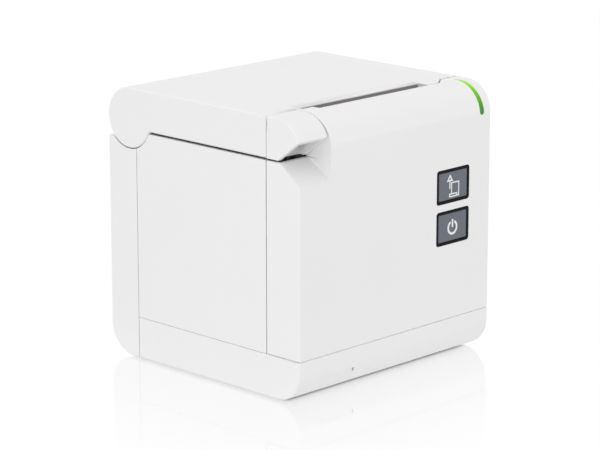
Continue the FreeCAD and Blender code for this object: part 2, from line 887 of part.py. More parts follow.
def release_lever():
    block = casing_envelope().common(box(-half_w, lever_right, front_y, lever_rear_y, lid_edge_z, height))
    lip_z = height - lever_lip_drop
    slope = (lip_z - lid_edge_z) / lever_tip_run
    under = [(front_y - overcut, lip_z + overcut * slope), (front_y - overcut, floor_z),
             (front_y + lever_tip_run, floor_z), (front_y + lever_tip_run, lid_edge_z)]
    block = block.cut(prism_x(under, -half_w - overcut, half_w))
    lean_y = lever_rear_y - lever_lean * (height - lever_pin_z)
    lean = [(lever_rear_y, lever_pin_z), (lean_y, height), (lean_y, height + overcut),
            (lever_rear_y + overcut, height + overcut), (lever_rear_y + overcut, lever_pin_z)]
    block = block.cut(prism_x(lean, -half_w - overcut, half_w))
    hollow = casing_block(wall).common(box(-inner_x, lever_right - lever_wall, front_y,
                                           lever_rear_y - lever_back, floor_z, height))
    block = block.cut(hollow)
    for x in lever_arm_starts():
        arm = box(x, x + lever_third(), lever_rear_y - lever_back / 2, lever_pin_y, lever_pin_z - lever_eye,
                  lever_pin_z + lever_eye)
        lobe = box(x, x + lever_third(), lever_pin_y, lever_pin_y + lever_lobe + lever_eye,
                   lever_pin_z - lever_eye / 2, lever_pin_z + lever_eye / 2)
        arm = union(arm, lobe, rod_x(lever_eye, x, x + lever_third(), lever_pin_y, lever_pin_z))
        arm = arm.cut(rod_x(lever_pin_radius + running_fit, x - overcut, x + lever_third() + overcut,
                            lever_pin_y, lever_pin_z))
        block = block.fuse(arm)
    return block.removeSplitter()


def latch_hook():
    x = lever_hook_x()
    low = lever_pin_z - hook_reach
    front = lever_pin_y - hook_arm / 2 - hook_lead
    tip = catch_y() - catch_radius - catch_gap
    arm = prism_x([(lever_pin_y - hook_arm / 2, lever_pin_z), (front, low), (tip - hook_lead, low),
                   (tip, low + hook_nose / 2), (tip - hook_lead, low + hook_nose),
                   (front + hook_arm, low + hook_nose), (lever_pin_y + hook_arm / 2, lever_pin_z)],
                  x, x + hook_thick)
    arm = arm.fuse(rod_x(lever_eye, x, x + hook_thick, lever_pin_y, lever_pin_z))
    arm = arm.cut(rod_x(lever_pin_radius + running_fit, x - overcut, x + hook_thick + overcut,
                        lever_pin_y, lever_pin_z))
    return arm


def catch_y():
    return lever_pin_y + hook_nose + catch_radius


def catch_pin():
    z = lever_pin_z - hook_reach + hook_nose + catch_rise
    return rod_x(catch_radius, lever_hook_x() - catch_gap, plate_left, catch_y(), z)


def lid_inner():
    """Platen carrier under the lid: beam, ears round the platen shaft, and a roll shield."""
    left = path_left - plate
    right = path_right + plate
    top = height - wall
    beam_front = paper_y + fixed_lead + fixed_depth
    beam_back = lid_front_y + slot_set_back + wall + running_fit
    beam = box(left, right, beam_back, beam_front, fixed_z + blade, top)
    shield_front = beam_front - tiny
    shield_back = bin_y + bin_radius / 2
    shield = box(left, right, shield_front, shield_back, top - lid_nose - guide_thick, top - lid_nose)
    posts = box(left, right, shield_back - bin_wall, shield_back, top - lid_nose - guide_thick, top)
    ears = []
    for x in (path_left - ear_thick + running_fit * 2, path_right - running_fit * 2):
        stem = box(x, x + ear_thick, beam_front - tiny - plate, beam_front + platen_radius,
                   platen_z - bush_radius, top)
        arm = box(x, x + ear_thick, platen_y, beam_front + platen_radius, platen_z - bush_radius,
                  platen_z + bush_radius)
        eye = rod_x(bush_radius, x, x + ear_thick, platen_y, platen_z)
        ear = union(stem, arm, eye)
        ears.append(ear.cut(rod_x(shaft_radius + running_fit, x - overcut, x + ear_thick + overcut,
                                  platen_y, platen_z)))
    return union(beam, slot_bar(0.0), shield, posts, *ears)


def fixed_blade():
    y0 = paper_y + fixed_lead
    return box(path_left + ear_gap, path_right - ear_gap, y0, y0 + fixed_depth, fixed_z, fixed_z + blade)


def platen_shaft():
    return rod_x(shaft_radius, plate_left - bush_flange, platen_gear_x + gear_width, platen_y, platen_z)


def platen_rubber():
    half = paper_width / 2 + ear_gap
    sleeve = rod_x(platen_radius, paper_shift - half, paper_shift + half, platen_y, platen_z)
    return sleeve.cut(rod_x(shaft_radius, -width, width, platen_y, platen_z))


def platen_bushes():
    bushes = []
    for x, out in ((plate_left, -1), (plate_right, 1)):
        inner = x - out * plate
        x0, x1 = sorted((inner, x + out * bush_flange))
        bush = rod_x(bush_radius, x0, x1, platen_y, platen_z)
        bushes.append(bush.cut(rod_x(shaft_radius + running_fit, x0 - overcut, x1 + overcut, platen_y,
                                     platen_z)))
    return Part.makeCompound(bushes)


def platen_gear():
    gear = gear_x(platen_teeth, gear_module, to_idler, platen_gear_x, platen_gear_x + gear_width,
                  platen_y, platen_z)
    return gear.cut(rod_x(shaft_radius, 0.0, width, platen_y, platen_z))


def idler_gear():
    small = gear_x(idler_small_teeth, gear_module, to_idler + math.pi + math.pi / idler_small_teeth,
                   platen_gear_x, idler_big_x + tiny, idler_y, idler_z)
    big = gear_x(idler_big_teeth, gear_module, to_motor, idler_big_x, idler_big_x + gear_width,
                 idler_y, idler_z)
    bore = rod_x(post_radius + running_fit, 0.0, width, idler_y, idler_z)
    return small.fuse(big).cut(bore)


def idler_post():
    post = rod_x(post_radius, plate_right, gear_plate_x, idler_y, idler_z)
    collar = rod_x(collar_radius, plate_right, platen_gear_x - key_gap, idler_y, idler_z)
    return union(post, collar)


def feed_motor():
    body = rod_x(motor_radius, gear_plate_out, inner_x - motor_gap, motor_y, motor_z)
    boss = rod_x(motor_boss, gear_plate_x, gear_plate_out + tiny, motor_y, motor_z)
    bore = rod_x(motor_shaft + running_fit, 0.0, gear_plate_out + motor_boss, motor_y, motor_z)
    return union(body, boss).cut(bore)


def motor_pinion():
    gear = gear_x(feed_pinion_teeth, gear_module, to_motor + math.pi + math.pi / feed_pinion_teeth,
                  idler_big_x, idler_big_x + gear_width, motor_y, motor_z)
    return union(gear, rod_x(motor_shaft, idler_big_x, gear_plate_out + motor_boss / 2, motor_y, motor_z))


def spacer_points():
    low = motor_z - motor_radius + spacer_radius
    return [(motor_y + motor_radius, low), (motor_y - motor_radius + spacer_radius, low),
            (idler_y + motor_radius + spacer_radius, idler_z)]


def gear_plate():
    """Outer gear plate carrying the motor, with its three spacers."""
    low = motor_z - motor_radius
    back = idler_y + motor_radius + 2 * spacer_radius
    front = motor_y - motor_radius
    outline = [(front, low), (back, low), (back, idler_z + spacer_radius),
               (idler_y, idler_z + 2 * spacer_radius), (idler_y - spacer_radius, idler_z), (front, motor_z)]
    sheet = prism_x(outline, gear_plate_x, gear_plate_out)
    sheet = sheet.cut(rod_x(motor_boss, 0.0, width, motor_y, motor_z))
    spacers = [rod_x(spacer_radius, plate_right, gear_plate_x + tiny, y, z) for y, z in spacer_points()]
    return union(sheet, *spacers)


def side_plate_outline(right):
    low = frame_floor_z - frame_side_low
    back = frame_back_y
    front = front_y + recess_run + seam
    top_front = head_face_y - sink_thick
    slope = bin_front_y
    points = [(front, frame_floor_z), (bin_front_y - seam, frame_floor_z), (bin_front_y - seam, low),
              (back, low), (back, bin_top_z + sensor_height), (slope, frame_top_z), (top_front, frame_top_z)]
    if right:
        reach = frame_front_y
        drop = motor_z - motor_radius
        points = [(reach, drop), (back, drop), (back, bin_top_z + sensor_height), (slope, frame_top_z),
                  (reach, frame_top_z)]
    else:
        points += [(top_front, head_pin_z + sensor_height), (front, head_pin_z + sensor_height)]
    return points


def mech_frame():
    left = prism_x(side_plate_outline(False), plate_left, bin_left)
    right = prism_x(side_plate_outline(True), bin_right, plate_right)
    top = frame_floor_z + plate
    sheet_front = front_y + recess_run + seam
    floor = box(bin_left - tiny, bin_right + tiny, sheet_front, bin_front_y - seam, frame_floor_z, top)
    shelf_left = recess_right + 2 * wall
    shelf = box(shelf_left, bin_right + tiny, frame_front_y, sheet_front + tiny, frame_floor_z, top)
    flange = box(shelf_left, bin_right + tiny, frame_front_y, frame_front_y + plate, frame_floor_z,
                 head_pin_z + head_pin_drop - head_rise)
    frame = union(left, right, floor, shelf, flange)
    slot_half = bush_radius + bush_play
    frame = frame.cut(rod_x(slot_half, -width, width, platen_y, platen_z))
    frame = frame.cut(box(-width, width, platen_y - slot_half, platen_y + slot_half, platen_z, height))
    return frame.cut(rod_x(head_pin_radius, -width, width, head_pin_y, head_pin_z))


def head_pivot_shaft():
    return rod_x(head_pin_radius, plate_left, plate_right, head_pin_y, head_pin_z)


def print_head():
    return box(paper_shift - head_half, paper_shift + head_half, head_face_y - head_thick, head_face_y,
               platen_z + head_rise - head_height, platen_z + head_rise)


def head_heat_sink():
    left = paper_shift - head_half
    right = paper_shift + head_half
    back = head_face_y - head_thick
    block = box(left, right, sink_front_y, back, platen_z - sink_drop, platen_z + head_rise)
    block = block.cut(box(left + bin_wall, right - bin_wall,
                          sink_front_y - overcut, back - sink_thick / 2,
                          platen_z - head_pin_drop + head_rise, platen_z - head_rise))
    return block.cut(rod_x(head_pin_radius + running_fit, -width, width, head_pin_y, head_pin_z))


def head_spring():
    """Leaf with two fingers from the frame flange to the back of the heat sink."""
    seat_y = frame_front_y + plate
    low = frame_floor_z + plate
    top = head_pin_z + head_pin_drop - head_rise
    seat = box(paper_shift - head_spring_width * 2, paper_shift + head_spring_width * 2,
               seat_y, seat_y + leaf, low, top)
    fingers = []
    for x in (paper_shift - head_spring_width * 2, paper_shift + head_spring_width):
        tip_y = sink_front_y - head_spring_gap
        rise = top + head_rise - leaf
        fingers.append(prism_x([(seat_y, top - head_rise), (seat_y + leaf, top - head_rise),
                                (tip_y, rise - leaf), (tip_y, rise), (tip_y - leaf, rise), (seat_y, top)],
                               x, x + head_spring_width))
    return union(seat, *fingers)


def paper_guide():
    low = frame_floor_z + plate
    front = head_face_y - nip_gap + bush_play
    back = bin_front_y - seam
    outline = [(back, low), (back, low + guide_thick * 2), (front + guide_thick, low + guide_rise),
               (front, low + guide_rise), (front, low)]
    hollow_front = front + guide_thick * 2
    hollow = [(back - guide_thick, low - overcut), (back - guide_thick, low + guide_thick),
              (hollow_front, low + guide_rise - guide_thick * 2), (hollow_front, low - overcut)]
    wedge = prism_x(outline, path_left, path_right)
    wedge = wedge.cut(prism_x(hollow, path_left + guide_thick, path_right - guide_thick))
    y = (front + back) / 2
    window = box(paper_shift - sensor_width / 2 - key_gap, paper_shift + sensor_width / 2 + key_gap,
                 y - sensor_width / 2 - key_gap, y + sensor_width / 2 + key_gap, low, height)
    return wedge.cut(window)


def paper_sensor():
    low = frame_floor_z + plate
    y = (head_face_y - nip_gap + bush_play + bin_front_y - seam) / 2
    return box(paper_shift - sensor_width / 2, paper_shift + sensor_width / 2, y - sensor_width / 2,
               y + sensor_width / 2, low, low + sensor_height)


def cover_switch():
    y = frame_back_y
    return box(plate_left - sensor_width, plate_left, y - 2 * sensor_width, y, frame_floor_z - sensor_width,
               frame_floor_z + sensor_height / 2)


def cutter_frame():
    left = recess_right + seam + wall
    right = cutter_x + cutter_motor_radius
    back = paper_y - blade_front_gap
    front = blade_back_y - seam
    floor = box(left, right, front, back, frame_top_z, cutter_floor_z)
    rail_top = cutter_floor_z + cutter_rail_rise
    rail_left = box(left, left + cutter_rail / 2, front, back, cutter_floor_z - tiny, rail_top)
    block = union(floor, rail_left)
    shaft = rod_z(motor_shaft + seam, cutter_x, cutter_y, frame_top_z - overcut, cutter_floor_z + overcut)
    return block.cut(shaft)


def moving_blade():
    """V-edged blade with a rack bar on its right side."""
    left = recess_right + seam + wall + cutter_rail / 2 + bush_play
    right = path_right
    middle = (left + right) / 2
    edge = [(left, blade_back_y), (left, blade_tip_y), (middle, blade_tip_y - blade_v), (right, blade_tip_y),
            (right, blade_tip_y - blade_v)]
    teeth = []
    slant = math.tan(math.radians(pressure_angle))
    quarter = rack_pitch / 4 - backlash / 4
    tip = addendum * rack_module
    root = dedendum * rack_module
    for count in range(rack_teeth):
        y = cutter_y + rack_pitch / 2 - count * rack_pitch
        teeth += [(rack_x - root, y + quarter + root * slant), (rack_x + tip, y + quarter - tip * slant),
                  (rack_x + tip, y - quarter + tip * slant), (rack_x - root, y - quarter - root * slant)]
    start_y = cutter_y + rack_pitch
    rack = [(right, start_y), (rack_x - root, start_y)] + teeth + [(rack_x - root, blade_back_y)]
    return prism_z(edge + rack, blade_z, blade_z + blade)


def cutter_motor():
    body = rod_z(cutter_motor_radius, cutter_x, cutter_y, frame_top_z - cutter_motor_height, frame_top_z)
    bore = rod_z(motor_shaft + running_fit, cutter_x, cutter_y, frame_top_z - cutter_shaft_run, height)
    return body.cut(bore)


def cutter_pinion():
    gear = gear_z(cutter_teeth, rack_module, math.pi, cutter_x, cutter_y, blade_z - bush_play / 2,
                  blade_z + 2 * blade)
    shaft = rod_z(motor_shaft, cutter_x, cutter_y, frame_top_z - cutter_shaft_run + overcut, blade_z)
    return union(gear, shaft)


def paper_bin():
    outer = rod_x(bin_outer, bin_left, bin_right, bin_y, bin_z)
    outer = outer.common(box(-width, width, -depth, depth, 0.0, bin_z + tiny))
    outer = outer.fuse(box(bin_left, bin_right, bin_front_y, bin_y + bin_outer, bin_z, bin_top_z))
    inner = rod_x(bin_radius, path_left, path_right, bin_y, bin_z)
    inner = inner.fuse(box(path_left, path_right, bin_y - bin_radius, bin_y + bin_radius, bin_z,
                           bin_top_z + overcut))
    bucket = outer.cut(inner)
    post_y = hinge_y - corner_radius - seam - arm_post
    for x in (bin_left, path_right):
        arm = box(x, x + bin_wall, post_y, hinge_y, hinge_z - arm_half, hinge_z + arm_half)
        post = box(x, x + bin_wall, post_y, post_y + arm_post, bin_top_z - overcut, hinge_z + arm_half)
        eye = rod_x(arm_eye, x, x + bin_wall, hinge_y, hinge_z)
        bucket = bucket.fuse(union(arm, post, eye))
    bucket = bucket.cut(rod_x(pin_radius, -width, width, hinge_y, hinge_z))
    for x, y in boss_points():
        inward = bin_left if x < 0 else bin_right
        x0, x1 = sorted((x - math.copysign(-boss_radius, x), inward))
        foot = box(x0, x1, y - boss_radius, y + boss_radius, boss_top, boss_top + tab_thick)
        bucket = bucket.fuse(foot_web(inward, y))
        bucket = bucket.fuse(foot)
        bucket = bucket.cut(rod_z(screw_radius + screw_fit, x, y, boss_top - overcut,
                                  boss_top + tab_thick + overcut))
    return bucket.removeSplitter()


def foot_web(x, y):
    """Web that carries a fixing tab up to the round of the bin's end wall."""
    x0 = x if x < 0 else x - bin_wall
    return box(x0, x0 + bin_wall, y - boss_radius, y + boss_radius, boss_top, bin_z)


def hinge_pins():
    left = rod_x(pin_radius, bin_left - lug_gap - lug_width - lug_gap, path_left, hinge_y, hinge_z)
    right = rod_x(pin_radius, path_right, bin_right + lug_gap + lug_width + lug_gap, hinge_y, hinge_z)
    return Part.makeCompound([left, right])


parts = {
    "base": shell_base(),
    "rear_cover": shell_rear_cover(),
    "left_panel": side_panel(True),
    "right_panel": side_panel(False),
    "front_cover": shell_front_cover(),
    "lid": lid_shell(),
    "release_lever": release_lever(),
    "latch_hook": latch_hook(),
    "lever_pin": lever_pin(),
    "lever_spring": lever_spring(),
    "catch_pin": catch_pin(),
    "lid_inner": lid_inner(),
    "hinge_pins": hinge_pins(),
    "status_light": light_guide_solid(0.0),
    "button_rims": button_rims(),
    "feed_button": button_key(feed_z),
    "power_button": button_key(power_z),
    "control_board": control_board(),
    "button_switches": button_switches(),
    "status_led": status_led(),
    "paper_bin": paper_bin(),
    "mech_frame": mech_frame(),
    "paper_guide": paper_guide(),
    "paper_sensor": paper_sensor(),
    "cover_switch": cover_switch(),
    "print_head": print_head(),
    "head_heat_sink": head_heat_sink(),
    "head_pivot_shaft": head_pivot_shaft(),
    "head_spring": head_spring(),
    "platen_shaft": platen_shaft(),
    "platen_rubber": platen_rubber(),
    "platen_bushes": platen_bushes(),
    "platen_gear": platen_gear(),
    "idler_gear": idler_gear(),
    "idler_post": idler_post(),
    "gear_plate": gear_plate(),
    "feed_motor": feed_motor(),
    "motor_pinion": motor_pinion(),
    "cutter_frame": cutter_frame(),
    "fixed_blade": fixed_blade(),
    "moving_blade": moving_blade(),
    "cutter_motor": cutter_motor(),
    "cutter_pinion": cutter_pinion(),
    "main_board": main_board(),
    "dc_jack": dc_jack(),
    "usb_port": usb_port(),
    "lan_port": latch_socket(lan_x, lan_width, lan_height),
    "drawer_port": latch_socket(drawer_x, drawer_width, drawer_height),
    "rubber_feet": rubber_feet(),
    "case_screws": case_screws(),
}

os.makedirs("parts", exist_ok=True)
for name, shape in parts.items():
    shape.exportStep("parts/" + name + ".step")
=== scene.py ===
import json
import math

import bmesh
import bpy
import numpy as np
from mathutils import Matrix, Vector


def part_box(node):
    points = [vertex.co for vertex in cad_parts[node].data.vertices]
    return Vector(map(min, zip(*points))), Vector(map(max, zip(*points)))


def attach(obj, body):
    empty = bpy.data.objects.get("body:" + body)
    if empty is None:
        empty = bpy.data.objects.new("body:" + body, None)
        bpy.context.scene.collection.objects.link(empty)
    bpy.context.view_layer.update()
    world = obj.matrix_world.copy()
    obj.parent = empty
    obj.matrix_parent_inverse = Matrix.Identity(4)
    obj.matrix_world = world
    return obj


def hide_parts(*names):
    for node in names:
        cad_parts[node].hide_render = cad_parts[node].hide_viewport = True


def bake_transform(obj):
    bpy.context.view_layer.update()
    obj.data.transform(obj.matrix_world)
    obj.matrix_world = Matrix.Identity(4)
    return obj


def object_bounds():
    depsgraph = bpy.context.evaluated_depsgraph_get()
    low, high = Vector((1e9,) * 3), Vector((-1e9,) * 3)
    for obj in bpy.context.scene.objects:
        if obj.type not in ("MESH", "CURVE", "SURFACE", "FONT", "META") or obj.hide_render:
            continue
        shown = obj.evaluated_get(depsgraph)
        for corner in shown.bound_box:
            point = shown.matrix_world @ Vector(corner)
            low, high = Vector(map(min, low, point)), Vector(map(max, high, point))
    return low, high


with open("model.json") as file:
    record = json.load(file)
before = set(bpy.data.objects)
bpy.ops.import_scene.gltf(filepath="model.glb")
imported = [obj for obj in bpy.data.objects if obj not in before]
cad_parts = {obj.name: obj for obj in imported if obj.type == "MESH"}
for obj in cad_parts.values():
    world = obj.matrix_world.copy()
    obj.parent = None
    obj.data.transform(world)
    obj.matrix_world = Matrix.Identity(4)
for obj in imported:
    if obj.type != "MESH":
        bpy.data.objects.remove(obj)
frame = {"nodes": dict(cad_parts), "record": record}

cad_low, cad_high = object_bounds()


# The studio: a white floor that runs into a white backdrop, soft light from all round and a small low
# lamp on either side of the camera. The floor is a polished light table, so it shows a faint mirror
# image close to the printer and is plain white further out.
class Wire:
    """One socket of a node tree. Sums and products of wires and numbers add their own Math nodes."""

    def __init__(self, tree, socket=None):
        self.tree, self.socket = tree, socket

    def node(self, kind, settings=(), sockets=(), out=0):
        """Adds a node of this kind: first its settings, with a ramp's stops as pairs of place and
        colour, then the values or wires of its sockets. Returns the wire of one output."""
        made = self.tree.nodes.new("ShaderNode" + kind)
        for key, value in dict(settings).items():
            if key == "stops":
                stops = made.color_ramp.elements
                stops.remove(stops[1])
                stops[0].position, stops[0].color = value[0][0], (*value[0][1], 1.0)
                for place, colour in value[1:]:
                    stops.new(place).color = (*colour, 1.0)
            else:
                setattr(made, key, value)
        for key, value in dict(sockets).items():
            if isinstance(value, Wire):
                self.tree.links.new(value.socket, made.inputs[key])
            else:
                made.inputs[key].default_value = value
        return Wire(self.tree, made.outputs[out] if made.outputs else None)

    def math(self, operation, *values):
        return self.node("Math", {"operation": operation}, dict(enumerate(values)))

    def __add__(self, other):
        return self.math("ADD", self, other)

    def __sub__(self, other):
        return self.math("SUBTRACT", self, other)

    def __rsub__(self, other):
        return self.math("SUBTRACT", other, self)

    def __mul__(self, other):
        return self.math("MULTIPLY", self, other)

    __radd__ = __add__
    __rmul__ = __mul__


def seen_ray(wire):
    """1 for rays from the camera and for rays seen in gloss or glass, 0 for rays that light things."""
    seen = [wire.node("LightPath", out=name)
            for name in ("Is Camera Ray", "Is Glossy Ray", "Is Transmission Ray")]
    return wire.math("MAXIMUM", wire.math("MAXIMUM", seen[0], seen[1]), seen[2])


def new_material(name):
    """An empty material, and a wire to build its nodes on."""
    made = bpy.data.materials.new(name)
    made.use_nodes = True
    made.node_tree.nodes.clear()
    return made, Wire(made.node_tree)


def new_piece(name, points, faces):
    """A mesh object from an array of points in metres and a list of faces."""
    mesh = bpy.data.meshes.new(name)
    mesh.from_pydata(np.asarray(points).tolist(), [], np.asarray(faces).tolist())
    mesh.update()
    piece = bpy.data.objects.new(name, mesh)
    bpy.context.scene.collection.objects.link(piece)
    return piece


def floor_sheet():
    """White light table. Out from the printer's footprint, its mirror image and the printer's shadow
    both fade to plain white; under the printer the sheet gives no light and shows only what it gets. The
    light is table_near close to the printer's front and back, and table_light further out."""
    foot_x, foot_y = 0.0594, 0.0505
    mirror_share, mirror_end, mirror_rough = 0.40, 0.125, 0.08
    shadow_share, shadow_near, shadow_end = 0.08, 0.004, 0.16
    table_light, table_near, table_start, near_end = 0.69, 0.90, 0.005, 0.05
    side_share, front_start = 0.3, 0.01
    made, wire = new_material("floor_sheet")
    place = wire.node("TexCoord", out="Object")
    side, along = (wire.math("ABSOLUTE", wire.node("SeparateXYZ", {}, {"Vector": place}, out=axis))
                   for axis in ("X", "Y"))
    out_x, out_y = (wire.math("MAXIMUM", away - half, 0.0)
                    for away, half in ((side, foot_x), (along, foot_y)))
    reach = wire.math("SQRT", out_x * out_x + out_y * out_y)

    def fall(start, end, high, low):
        return wire.node("MapRange", {"interpolation_type": "SMOOTHSTEP"},
                         {"Value": reach, "From Min": start, "From Max": end,
                          "To Min": high, "To Max": low})

    white = (1.0, 1.0, 1.0, 1.0)
    glow = wire.node("Emission", {}, {"Color": white, "Strength": 1.0})
    matt = wire.node("BsdfDiffuse", {}, {"Color": white})
    shade = wire.math("MAXIMUM", fall(0.0, shadow_near, 1.0, 0.0),
                      fall(shadow_near, shadow_end, shadow_share, 0.0))
    sheet = wire.node("MixShader", {}, {0: shade, 1: glow, 2: matt})
    mirror = wire.node("BsdfGlossy", {}, {"Color": white, "Roughness": mirror_rough})
    polished = wire.node("MixShader", {}, {0: fall(0.0, mirror_end, mirror_share, 0.0),
                                           1: sheet, 2: mirror})
    far, near = (wire.node("Emission", {}, {"Color": white, "Strength": light})
                 for light in (table_light, table_near))
    ahead = wire.node("MapRange", {}, {"Value": out_y, "From Max": front_start, "To Min": side_share})
    lamp = wire.node("MixShader", {}, {0: fall(table_start, near_end, 1.0, 0.0) * ahead, 1: far, 2: near})
    table = wire.node("MixShader", {}, {0: fall(0.0, table_start, 0.0, 1.0), 1: matt, 2: lamp})
    surface = wire.node("MixShader", {}, {0: seen_ray(wire), 1: table, 2: polished})
    wire.node("OutputMaterial", {}, {"Surface": surface})
    return made


floor_half = 4.0
floor = new_piece("floor", [(-floor_half, -floor_half, 0.0), (floor_half, -floor_half, 0.0),
                            (floor_half, floor_half, 0.0), (-floor_half, floor_half, 0.0)], [(0, 1, 2, 3)])
floor.data.materials.append(floor_sheet())

world = bpy.data.worlds.new("studio_light")
bpy.context.scene.world = world
world.use_nodes = True
world.node_tree.nodes.clear()
sky = Wire(world.node_tree)
sky_light, sky_shown = 1.02, 1.0
lit, shown = (sky.node("Background", {}, {"Color": (1.0, 1.0, 1.0, 1.0), "Strength": strength})
              for strength in (sky_light, sky_shown))
sky.node("OutputWorld", {}, {"Surface": sky.node("MixShader", {}, {0: seen_ray(sky), 1: lit, 2: shown})})


def soft_lamp(name, place, aim, size, power):
    """Square area lamp at a place in metres, turned to its aim."""
    lamp = bpy.data.lights.new(name, "AREA")
    lamp.shape = "SQUARE"
    lamp.size = size
    lamp.energy = power
    holder = bpy.data.objects.new(name, lamp)
    bpy.context.scene.collection.objects.link(holder)
    holder.location = place
    holder.rotation_euler = (Vector(aim) - Vector(place)).to_track_quat("-Z", "Y").to_euler()


middle, lamp_size = (0.0, 0.0, 0.066), 0.16
soft_lamp("lamp_left", (-1.02, -0.36, 0.10), middle, lamp_size, 1.85)
soft_lamp("lamp_front", (0.62, -0.90, 0.10), middle, lamp_size, 0.8)

# The camera stands off the front left corner, a little above the lid, and looks at the printer's
# middle. Its long lens keeps the casing's upright edges almost parallel.
view_azimuth, view_elevation = math.radians(-45.601), math.radians(14.237)
view_distance, view_drop, view_side, view_height = 1.2726, 0.003678, 0.00004, 0.06618
back = Vector((math.sin(view_azimuth) * math.cos(view_elevation),
               -math.cos(view_azimuth) * math.cos(view_elevation), math.sin(view_elevation)))
right = Vector((math.cos(view_azimuth), math.sin(view_azimuth), 0.0))
up = back.cross(right)
camera = bpy.data.objects.new("camera", bpy.data.cameras.new("camera"))
bpy.context.scene.collection.objects.link(camera)
camera.data.sensor_width = 36.0
camera.data.lens = 159.27
camera.data.clip_start, camera.data.clip_end = 0.01, 50.0
camera.location = (Vector((0.0, 0.0, view_height)) + right * view_side - up * view_drop
                   + back * view_distance)
camera.rotation_mode = "QUATERNION"
camera.rotation_quaternion = back.to_track_quat("Z", "Y")
bpy.context.scene.camera = camera
bpy.context.scene.view_settings.view_transform = "Standard"


# The casing: base tray, rear cover, two side panels, front cover, lid and release lever, all
# injection moulded in white satin plastic with a fine eroded grain. Every edge that leaves the
# mould is broken to a small round, which catches a thin line of light along the seams.
record = frame["record"]
body_of = {node: body for body, nodes in record["behaviour"]["bodies"].items() for node in nodes}


def plastic(name, colour, roughness, grain, mottle=0.02, gloss=0.5):
    """Moulded plastic: colour drifts by mottle over some centimetres, and a grain of a few tenths
    of a millimetre raises the surface a little and breaks up its gloss."""
    cloud_scale, pit_scale, pit_deep = 38.0, 2400.0, 0.00004
    made, wire = new_material(name)
    place = wire.node("TexCoord", out="Object")
    cloud = wire.node("TexNoise", {}, {"Vector": place, "Scale": cloud_scale, "Detail": 3.0})
    pits = wire.node("TexNoise", {}, {"Vector": place, "Scale": pit_scale, "Detail": 2.0})
    low = [c * (1.0 - mottle) for c in colour]
    tone = wire.node("Mix", {"data_type": "RGBA"}, {0: cloud, 6: (*low, 1.0), 7: (*colour, 1.0)}, out=2)
    raised = wire.node("Bump", {}, {"Strength": grain, "Distance": pit_deep, "Height": pits})
    surface = wire.node("BsdfPrincipled", {}, {
        "Base Color": tone, "Roughness": roughness + (pits - 0.5) * 0.10 + (cloud - 0.5) * 0.06,
        "Normal": raised, "Specular IOR Level": gloss})
    wire.node("OutputMaterial", {}, {"Surface": surface})
    return made


def moulded(node, material, edge, steps=2, broad=None, spared=()):
    """Copy of a solid's mesh with its triangles merged and its flats joined into single faces. Each
    edge sharper than sharp_edge is rounded to the width edge in steps. Where broad gives a low corner,
    a high corner and a width, the edges inside that box are rounded to that width, and those inside
    the boxes spared stay sharp."""
    sharp_edge, flat, same_point = math.radians(28.0), math.radians(0.2), 2e-6
    broad_low, broad_high, widest = broad or ((0, 0, 0), (0, 0, 0), edge)

    def inside(ends, low, high):
        return ((ends > low) & (ends < high)).all()

    form = bmesh.new()
    form.from_mesh(frame["nodes"][node].data)
    bmesh.ops.remove_doubles(form, verts=form.verts, dist=same_point)
    bmesh.ops.dissolve_limit(form, angle_limit=flat, verts=form.verts, edges=form.edges)
    share = form.edges.layers.float.new("bevel_weight_edge")
    for line in form.edges:
        if len(line.link_faces) == 2 and line.calc_face_angle() > sharp_edge:
            ends = np.array([tuple(end.co) for end in line.verts])
            line[share] = 1.0 if inside(ends, broad_low, broad_high) else edge / widest
            if any(inside(ends, low, high) for low, high in spared):
                line[share] = 0.0
    mesh = bpy.data.meshes.new(node + "_moulded")
    form.to_mesh(mesh)
    form.free()
    if "custom_normal" in mesh.attributes:
        mesh.attributes.remove(mesh.attributes["custom_normal"])
    mesh.shade_smooth()
    mesh.materials.clear()
    mesh.materials.append(material)
    piece = bpy.data.objects.new(node + "_moulded", mesh)
    bpy.context.scene.collection.objects.link(piece)
    rounds = piece.modifiers.new("rounds", "BEVEL")
    rounds.width, rounds.segments = widest, steps
    rounds.limit_method, rounds.use_clamp_overlap = "WEIGHT", False
    rounds.harden_normals = True
    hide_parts(node)
    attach(piece, body_of[node])


casing_white = plastic("casing_white", (0.823, 0.818, 0.822), 0.40, 0.10)
casing_edge, soft_edge = 0.00014, 0.00045
for node in ("base", "rear_cover", "left_panel", "right_panel"):
    moulded(node, casing_white, casing_edge)
moulded("release_lever", casing_white, casing_edge, 3)
lever_low, lever_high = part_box("release_lever")
recess_reach, recess_low, recess_over = 0.003, 0.098, 0.004
moulded("front_cover", casing_white, casing_edge, 3,
        ((-1.0, -1.0, recess_low),
         (lever_high.x + recess_reach, lever_high.y, lever_low.z + recess_over), soft_edge))
slot_y, slot_z, slot_round, near = -0.0405, 0.1318, 0.0003, 0.0002
slot_ends, end_low, end_high = (-0.0460, -0.0430, 0.0384), (-0.043, 0.128), (-0.033, 0.133)
moulded("lid", casing_white, casing_edge, 3,
        ((-1.0, slot_y - near, slot_z - near), (1.0, slot_y + near, slot_z + near), slot_round),
        [((end - near, *end_low), (end + near, *end_high)) for end in slot_ends])


